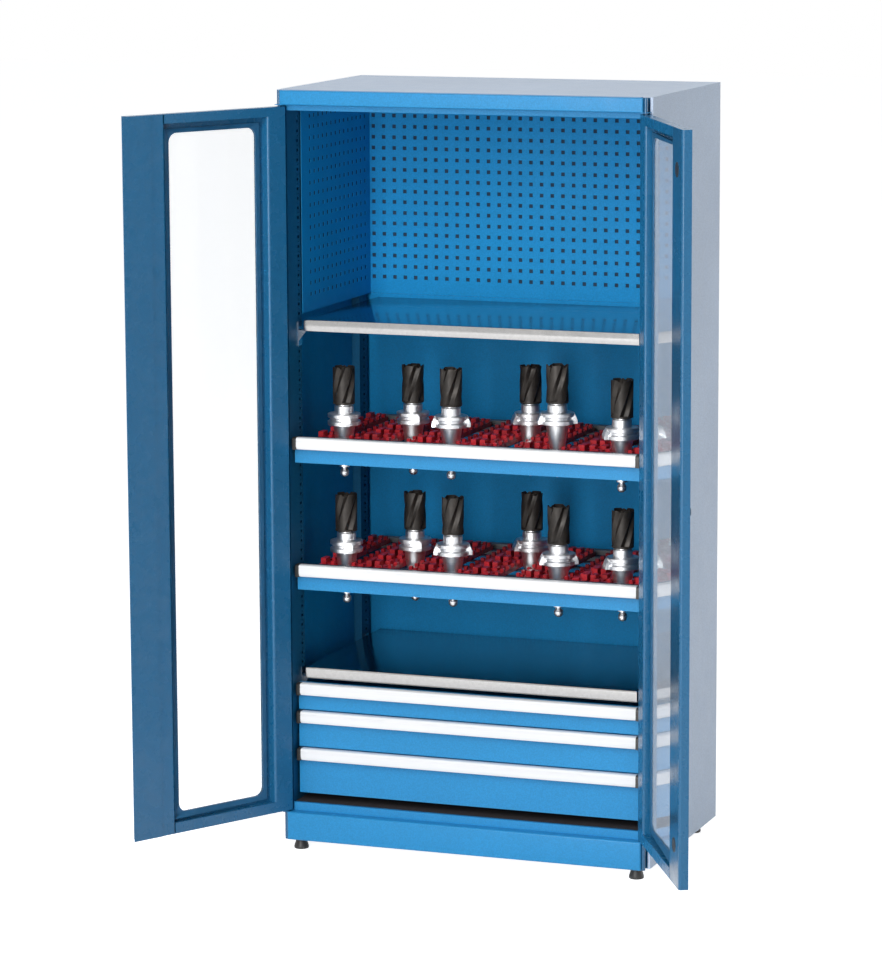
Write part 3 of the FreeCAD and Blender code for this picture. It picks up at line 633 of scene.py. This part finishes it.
def frame_inserts(frame_name, level, pull, pairs, finishes):
    raises = {(column, row): lift for column, row, lift in TOOLS[frame_name]}
    copies = []
    for column, (left, right) in enumerate(pairs):
        for row in range(ROWS):
            close = TAPER_SHARE * raises.get((column, row), 0.0)
            y = FIRST_ROW + ROW_PITCH * row - pull
            x = COLUMNS[column]
            copies.append(twin(left, Matrix.Translation((x + close, y, level + DECK))))
            copies.append(twin(right, Matrix.Translation((x - close, y, level + DECK))))
    inserts = joined(copies, frame_name + "_sockets")
    fit(inserts, frame_name, "red_plastic", finishes["red_plastic"], frame_name + "_inserts")


# Pull-out carriers: blue front, rails behind it in near-black navy as painted shade, grey rear bar and slides
def frame_carrier(frame_name, pull, finishes):
    tray = folded_copy(frame_name + "_carrier", frame_name + "_tray")
    fit(tray, frame_name, "blue_paint", finishes["blue_paint"], frame_name + "_carrier")
    # painted shade: everything behind the front panel
    second_finish(tray, finishes["rail_painted_shade"], lambda c: c.y > PANEL_FRONT - pull + 0.004)
    second_finish(tray, finishes["rail_grey"], lambda c: c.y > REAR_RAIL - pull
                  or abs(c.x) > TRAY_HALF + 0.001 and c.y > PANEL_FRONT - pull + 0.012)


# Tool holder with its flange's underside at height zero, pull stud below and collar above
def stud_ball(middle_height, radius):
    places = (-72.0, -50.0, -30.0, -12.0, -5.0, 5.0, 12.0, 30.0, 48.0)
    outline = []
    for place in places:
        angle = math.radians(place)
        share = 0.93 if abs(place) < 6.0 else 1.0
        outline.append((share * radius * math.cos(angle), middle_height + radius * math.sin(angle)))
    return outline


def drive_key(side):
    inner, outer = side * 0.034, side * 0.051
    half, bottom, top, slope_start, slope = 0.012, 0.0015, 0.0295, 0.009, 0.008
    x0, x1 = sorted((inner, outer))
    key = block("key", (x0, -half, bottom), (x1, half, top))
    cut_across(key, (0.0, 0.0, slope_start), (0.0, 0.0, 1.0))
    pick(key, "VERT", lambda v: abs(v.co.x - outer) < 1e-5 and v.co.z > top - 0.0005)
    bpy.ops.transform.translate(value=(-side * slope, 0.0, 0.0))
    done()
    at_side = lambda e: abs(abs(middle(e).y) - half) < 1e-5
    round_edges(key, lambda e: at_side(e) and middle(e).z > top - 0.0005, 0.0065, 1)
    round_edges(key, lambda e: at_side(e) and abs(middle(e).x - outer) < 1e-5, 0.0012, 2)
    return key


def tool_holder():
    outline = stud_ball(-0.1258, 0.0123)
    outline += [(0.0066, -0.1142), (0.0065, -0.1112), (0.0136, -0.1110), (0.0145, -0.1101), (0.0145, -0.1038),
                (0.0137, -0.1030), (0.0140, -0.1029), (0.0290, 0.0), (0.0415, 0.0), (0.0430, 0.0015),
                (0.0430, 0.0105), (0.0415, 0.0118), (0.0372, 0.0140), (0.0372, 0.0180), (0.0415, 0.0202),
                (0.0430, 0.0215), (0.0430, 0.0295), (0.0415, 0.0310), (0.0262, 0.0310), (0.0252, 0.0325),
                (0.0252, 0.0500), (0.0240, 0.0518), (0.0228, 0.0530), (0.0225, 0.0550)]
    body = turned("holder", outline, 48)
    return joined([body, drive_key(1.0), drive_key(-1.0)], "holder")


# Cutter with right-hand flutes and notched teeth
def fluted_cutter():
    start_fresh()
    base, flutes_from = 0.055, 0.061
    bpy.ops.mesh.primitive_circle_add(vertices=48, radius=0.0272, fill_type="NGON",
                                      location=(0.0, 0.0, base))
    piece = bpy.context.active_object
    bpy.ops.object.transform_apply(location=True, rotation=True, scale=True)
    bpy.ops.object.mode_set(mode="EDIT")
    bpy.ops.mesh.select_mode(type="FACE")
    bpy.ops.mesh.select_all(action="SELECT")
    for rise, share in ((0.0015, 1.06), (0.0035, 1.0), (0.0010, 1.0)):
        bpy.ops.mesh.extrude_region_move(TRANSFORM_OT_translate={"value": (0.0, 0.0, rise)})
        bpy.ops.transform.resize(value=(share, share, 1.0), center_override=(0.0, 0.0, 0.1))
    done()
    start = flutes_from - 0.0001
    for step, share in FLUTE_SHARES.items():
        for flute in range(FLUTES):
            angle = math.radians(7.5 * step + 360.0 / FLUTES * flute)
            spot = Vector((math.cos(angle), math.sin(angle)))
            pick(piece, "VERT", lambda v: v.co.z > start
                 and (Vector((v.co.x, v.co.y)).normalized() - spot).length < 0.03)
            bpy.ops.transform.resize(value=(share, share, 1.0), center_override=(0.0, 0.0, flutes_from))
            done()
    pick(piece, "FACE", lambda f: f.normal.z > 0.9 and middle(f).z > start)
    for step in range(FLUTE_STEPS):
        bpy.ops.mesh.extrude_region_move(TRANSFORM_OT_translate={"value": (0.0, 0.0, FLUTE_RISE)})
        bpy.ops.transform.rotate(value=FLUTE_TURN, orient_axis="Z", center_override=(0.0, 0.0, 0.1))
    bpy.ops.mesh.inset(thickness=0.0040, depth=0.0)
    bpy.ops.mesh.extrude_region_move(TRANSFORM_OT_translate={"value": (0.0, 0.0, -0.007)})
    done()
    top = flutes_from + FLUTE_STEPS * FLUTE_RISE
    pick(piece, "VERT", lambda v: v.co.z > top - 0.0005
         and 0.0200 < Vector((v.co.x, v.co.y)).length < 0.0265)
    bpy.ops.transform.translate(value=(0.0, 0.0, -0.0050))
    bpy.ops.mesh.select_all(action="SELECT")
    bpy.ops.mesh.normals_make_consistent(inside=False)
    done()
    return named(piece, "cutter")


def frame_tools(frame_name, level, pull, finishes):
    holder = tool_holder()
    cutter = fluted_cutter()
    holders, cutters = [], []
    for step, (column, row, lift) in enumerate(TOOLS[frame_name]):
        seat = Vector((COLUMNS[column], FIRST_ROW + ROW_PITCH * row - pull,
                       level + DECK + JAW_TALL + SEAT_RISE + lift))
        key_turn = Matrix.Rotation(math.radians(KEY_TURNS[step]), 4, "Z")
        cutter_turn = Matrix.Rotation(math.radians(CUTTER_TURNS[step]), 4, "Z")
        holders.append(twin(holder, Matrix.Translation(seat) @ key_turn))
        cutters.append(twin(cutter, Matrix.Translation(seat) @ cutter_turn))
    clear_away(holder)
    clear_away(cutter)
    holders = joined(holders, frame_name + "_tapers")
    smooth(holders, 32.0)
    fit(holders, frame_name, "tool_steel", finishes["tool_steel"], frame_name + "_tool_holders")
    cutters = joined(cutters, frame_name + "_mills")
    smooth(cutters, 28.0)
    fit(cutters, frame_name, "black_steel", finishes["black_steel"], frame_name + "_cutters")


# Levelling feet
def levelling_foot(name, x, y, finishes):
    outline = [(0.0180, 0.0), (0.0193, 0.0012), (0.0195, 0.0055), (0.0186, 0.0090), (0.0162, 0.0165),
               (0.0142, 0.0235), (0.0134, 0.0285), (0.0126, 0.0296), (0.0052, 0.0297), (0.0050, 0.0474)]
    foot = turned(name + "_pad", outline, 32)
    foot.data.transform(Matrix.Translation((x, y, 0.0)))
    smooth(foot, 30.0)
    fit(foot, name, "black_plastic", finishes["black_plastic"], name)


# Dark sheet behind the holes of the perforated sheets: painted shade seen through the holes
def hole_shade_sheet(finish):
    rear = block("hole_shade", (-0.486, 0.2985, HOLE_SHADE_BOTTOM), (0.486, 0.3005, HOLE_SHADE_TOP))
    round_edges(rear, lambda e: abs(e.verts[0].co.y - e.verts[1].co.y) > 0.001, 0.006, 3)
    right = block("hole_shade", (0.4780, -0.1860, HOLE_SHADE_BOTTOM), (0.4795, 0.2360, HOLE_SHADE_TOP))
    round_edges(right, lambda e: abs(e.verts[0].co.x - e.verts[1].co.x) > 0.001, 0.006, 3)
    left = twin(right, MIRROR)
    left.data.flip_normals()
    hole_shade = joined([rear, right, left], "hole_shade_sheet")
    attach(hole_shade, "cabinet")
    hole_shade.data.materials.append(finish)


# Fascia and kick plate: pressed covers with rounded front edges, hollow from behind, and hinge ears
def pressed_cover(name, bottom, top, ear, rear):
    plate = block("plate", (-COVER_HALF, FRONT, bottom), (COVER_HALF, FRONT + COVER_PLATE, top))
    round_edges(plate, lambda e: abs(middle(e).y - FRONT) < 1e-5, 0.0045, 5)
    tray = block("tray", (-EAR_START, FRONT + COVER_PLATE, bottom), (EAR_START, rear, top))
    sink(tray, lambda f: f.normal.y > 0.9, SHEET, (0.0, FRONT + COVER_PLATE + SHEET - rear, 0.0))
    pieces = [plate, tray]
    for side in (1.0, -1.0):
        x0, x1 = sorted((side * EAR_START, side * EAR_END))
        pieces.append(block("ear", (x0, FRONT + SHEET, ear), (x1, rear, ear + SHEET)))
        round_edges(pieces[-1], lambda e: abs(e.verts[0].co.z - e.verts[1].co.z) > 0.001
                    and abs(abs(middle(e).x) - EAR_END) < 1e-5, 0.004, 3)
    return joined(pieces, name)


def top_cover(finish):
    cover = pressed_cover("fascia_cover", FASCIA_BOTTOM, FASCIA_TOP, FASCIA_BOTTOM, FASCIA_BACK)
    lip = block("lip", (-EAR_START, FASCIA_BACK, STOP_LIP_BOTTOM),
                (EAR_START, STOP_LIP_BACK, FASCIA_BOTTOM + SHEET))
    pick(lip, "FACE", lambda f: f.normal.z < -0.9)
    bpy.ops.transform.resize(value=(1.0, 0.4, 1.0), center_override=(0.0, STOP_LIP_BACK, STOP_LIP_BOTTOM))
    done()
    cover = joined([cover, lip], "fascia_cover")
    smooth(cover)
    fit(cover, "cabinet", "blue_paint", finish, "top_fascia")


def kick_cover(finish):
    cover = pressed_cover("kick_cover", KICK_BOTTOM, KICK_TOP, KICK_TOP - SHEET, KICK_BACK)
    smooth(cover)
    fit(cover, "cabinet", "blue_paint", finish, "kick_plate")


# Shelves: folded trays with a rolled front edge
def rolled_shelf(name, front, top, finish, node):
    shelf = block(name, (-SHELF_HALF, front, top - SHELF_TALL), (SHELF_HALF, SHELF_BACK, top))
    sink(shelf, lambda f: f.normal.z < -0.9, 0.0040, (0.0, 0.0, SHELF_TALL - 0.0040))
    round_edges(shelf, lambda e: abs(middle(e).z - top) < 1e-5, 0.0032, 4)
    round_edges(shelf, lambda e: abs(middle(e).z - top + SHELF_TALL) < 1e-5
                and abs(middle(e).y - front) < 1e-5, 0.0015, 2)
    smooth(shelf)
    fit(shelf, "cabinet", "zinc", finish, node)


# Floor tray: its front strip is seen, the rest under the lowest drawer is near-black as painted shade
def floor_tray(finishes):
    tray = folded_copy("floor_panel", "floor_tray")
    cut_across(tray, (0.0, FLOOR_LIT_TO, 0.0), (0.0, 1.0, 0.0))
    fit(tray, "cabinet", "blue_paint", finishes["blue_paint"], "floor_panel")
    second_finish(tray, finishes["deep_shade"], lambda c: c.y > FLOOR_LIT_TO - 0.0001)


# Doors: pieces are modelled on the closed right door, then swung open, and mirrored for the left door
def hang(piece, side):
    hinge = Vector((HINGE_X, HINGE_Y, 0.0))
    swing = Matrix.Translation(hinge) @ Matrix.Rotation(DOOR_OPEN, 4, "Z") @ Matrix.Translation(-hinge)
    piece.data.transform(MIRROR @ swing if side == "left" else swing)
    if side == "left":
        piece.data.flip_normals()


def window_seal(side, finish):
    x0, x1, z0, z1 = 0.1172, 0.428, 0.147, 1.920
    seal = block(side + "_door_seal", (x0, PANE_INNER, z0), (x1, SEAL_BACK, z1))
    pick(seal, "FACE", lambda f: abs(f.normal.y) > 0.9)
    bpy.ops.mesh.inset(thickness=SEAL_WIDTH, depth=0.0)
    bpy.ops.mesh.bridge_edge_loops()
    done()
    pick(seal, "VERT", lambda v: abs(v.co.x - x0 - SEAL_WIDTH) < 1e-4)
    bpy.ops.transform.translate(value=(WINDOW_FREE_EDGE - x0 - SEAL_WIDTH, 0.0, 0.0))
    done()
    margin, lip = 0.005, 0.0135
    inside = lambda e: x0 + margin < middle(e).x < x1 - margin and z0 + margin < middle(e).z < z1 - margin
    across = lambda e: abs(e.verts[0].co.y - e.verts[1].co.y) > 0.001
    round_edges(seal, lambda e: inside(e) and across(e), WINDOW_ROUND, 8)
    round_edges(seal, lambda e: across(e) and middle(e).x > x1 - 0.001, 0.006, 3)
    pick(seal, "VERT", lambda v: v.co.x < x0 + 1e-4 and abs(v.co.y - SEAL_BACK) < 1e-5)
    bpy.ops.transform.translate(value=(0.0, lip, 0.0))
    done()
    hang(seal, side)
    smooth(seal)
    fit(seal, side + "_door", "black_plastic", finish)


def stile_plugs(finish):
    outline = [(0.0185, 0.0), (0.0185, 0.0004), (0.0179, 0.0008), (0.0168, 0.0010), (0.0142, 0.0010),
               (0.0136, 0.0006), (0.0060, 0.0006), (0.0054, 0.0010), (0.0020, 0.0010)]
    plugs = []
    for level in PLUG_LEVELS:
        plug = turned("plug", outline, 40)
        facing = Matrix.Rotation(math.radians(-90.0), 4, "X")
        plug.data.transform(Matrix.Translation((PLUG_X, DOOR_INNER, level)) @ facing)
        plugs.append(plug)
    plugs = joined(plugs, "stile_plugs")
    hang(plugs, "right")
    smooth(plugs, 30.0)
    fit(plugs, "right_door", "black_plastic", finish, "rod_guide_plugs")


def lever_handle(finish):
    x, z, face = LEVER_X, LEVER_Z, LEVER_SEAT
    outline = [(0.0170, 0.0), (0.0170, 0.0040), (0.0160, 0.0050), (0.0130, 0.0052), (0.0125, 0.0060),
               (0.0125, 0.0100), (0.0110, 0.0117), (0.0080, 0.0120), (0.0070, 0.0113), (0.0020, 0.0113)]
    hub = turned("hub", outline, 40)
    facing = Matrix.Rotation(math.radians(90.0), 4, "X")
    hub.data.transform(Matrix.Translation((x, face, z)) @ facing)
    tip = x + LEVER_LENGTH
    grip = block("grip", (x + 0.004, face - 0.0115, z - 0.0095), (tip, face - 0.0052, z + 0.0095))
    pick(grip, "VERT", lambda v: v.co.x > x + 0.05)
    bpy.ops.transform.resize(value=(1.0, 1.0, 0.78), center_override=(x, face, z))
    done()
    round_edges(grip, lambda e: middle(e).x > tip - 0.001 and abs(middle(e).z - z) > 0.004, 0.0065, 5)
    round_edges(grip, lambda e: abs(e.verts[0].co.y - e.verts[1].co.y) < 1e-5
                and middle(e).y < face - 0.011, 0.0016, 3)
    lever = joined([hub, grip], "lever")
    hang(lever, "right")
    smooth(lever)
    fit(lever, "door_handle", "black_steel", finish, "door_handle")


place_camera()
white_surround()
pale_floor()
soft_lamp("key", (0.0, -8.0, 5.9), (0.0, 0.0, 5.9), (2.4, 11.6), 920.0)
soft_lamp("side", (4.6, 2.6, 2.2), (0.5, 0.0, 1.0), (2.5, 3.0), 70.0)
soft_lamp("top", (0.0, 1.4, 5.0), (0.0, 0.2, 2.0), (3.0, 3.0), 30.0)

finishes = {
    "blue_paint": powder_coat("blue_powder_coat", (0.018, 0.250, 0.535), 0.42),
    "grey_paint": powder_coat("grey_powder_coat", (0.510, 0.613, 0.762), 0.46),
    "zinc": galvanised("galvanised_sheet", (0.435, 0.430, 0.425), 0.12),
    "white_aluminium": extruded_white("white_extrusion"),
    "black_plastic": moulded("black_moulding", (0.018, 0.017, 0.016), 0.46),
    "red_plastic": moulded("red_moulding", (0.450, 0.011, 0.020), 0.36, 0.62, 1.15),
    "tool_steel": lathe_steel("turned_steel", (0.78, 0.785, 0.80), 0.34),
    "black_steel": black_oxide("blackened_cutter"),
    "clear_pane": clear_sheet("clear_pane"),
    # Doors' blue is darker than the cabinet blue: painted shade on the door panels and left stile cover
    "door_paint": powder_coat("door_powder_coat", (0.013, 0.125, 0.268), 0.27, 0.45),
    # Dark grey-blue on the right door's stile cover: painted shade and painted reflection
    "stile_painted_shade_and_reflection": powder_coat("stile_painted_shade_and_reflection_coat", (0.022, 0.092, 0.180), 0.22, 0.62),
    "inner_paint": powder_coat("inner_powder_coat", (0.005, 0.250, 0.560), 0.5, 0.16),
    # Near-black blue behind the perforations: painted shade
    "hole_shadow": moulded("hole_painted_shade", (0.006, 0.040, 0.085), 0.8),
    # Near-black navy on the carrier rails: painted shade
    "rail_painted_shade": powder_coat("rail_painted_shade_coat", (0.010, 0.030, 0.060), 0.5, 0.2),
    # Near-black on the floor under the lowest drawer: painted shade
    "deep_shade": moulded("floor_painted_shade", (0.020, 0.015, 0.017), 0.85),
    "seal_rubber": moulded("seal_rubber", (0.010, 0.095, 0.205), 0.45),
    "plug_black": moulded("plug_moulding", (0.009, 0.009, 0.010), 0.5),
    "rail_grey": powder_coat("rail_powder_coat", (0.150, 0.155, 0.165), 0.45),
    # Darker blue on the hinge posts: painted shade
    "post_painted_shade": powder_coat("post_painted_shade_coat", (0.012, 0.105, 0.225), 0.24, 0.6),
    # Darker blue on the four uprights: painted shade
    "upright_painted_shade": powder_coat("upright_painted_shade_coat", (0.006, 0.105, 0.225), 0.5, 0.16),
    "handle_black": powder_coat("handle_powder_coat", (0.020, 0.020, 0.021), 0.45),
    "bright_plate": galvanised("bright_plate", (0.74, 0.745, 0.76), 0.22),
}
slot_of = {piece["node"]: piece["material_slot"] for piece in frame["record"]["subparts"]}
for name, slot in slot_of.items():
    mesh = nodes[name].data
    mesh.materials.clear()
    mesh.materials.append(finishes[slot])
own_finish = {
    # painted shade: darker blue on the doors
    "door_paint": ("left_door_panel", "left_door_stile_cover", "right_door_panel"),
    # painted shade and painted reflection on the right stile cover
    "stile_painted_shade_and_reflection": ("right_door_stile_cover",),
    "inner_paint": ("inner_back_panel", "perforated_back_panel", "perforated_left_panel",
                    "perforated_right_panel", "side_liners"),
    # painted shade: darker blue on the uprights
    "upright_painted_shade": ("front_left_upright", "front_right_upright", "rear_left_upright", "rear_right_upright"),
    # painted shade: darker blue on the hinge posts
    "post_painted_shade": ("hinge_posts",),
    "bright_plate": ("shelf_brackets",)}
for finish, names in own_finish.items():
    for name in names:
        nodes[name].data.materials[0] = finishes[finish]

jaw_pairs = insert_jaws()
for name, (level, pull) in FRAMES.items():
    dress_pull(name, level + FRAME_HANDLE_TOP, pull, finishes)
    frame_carrier(name, pull, finishes)
    frame_inserts(name, level, pull, jaw_pairs, finishes)
    frame_tools(name, level, pull, finishes)
for pair in jaw_pairs:
    clear_away(pair[0])
    clear_away(pair[1])
for name, top in DRAWER_TOPS.items():
    dress_pull(name, top, 0.0, finishes)
for side, x in (("left", -FOOT_X), ("right", FOOT_X)):
    levelling_foot("foot_front_" + side, x, FRONT + FOOT_FRONT_INSET, finishes)
    levelling_foot("foot_rear_" + side, x, -FRONT - FOOT_REAR_INSET, finishes)

hole_shade_sheet(finishes["hole_shadow"])
top_cover(finishes["blue_paint"])
kick_cover(finishes["blue_paint"])
for name, (front, top) in SHELVES.items():
    rolled_shelf(name + "_tray", front, top, finishes["zinc"], name)
floor_tray(finishes)
for side in ("left", "right"):
    window_seal(side, finishes["seal_rubber"])
stile_plugs(finishes["plug_black"])
lever_handle(finishes["handle_black"])

bpy.context.view_layer.update()
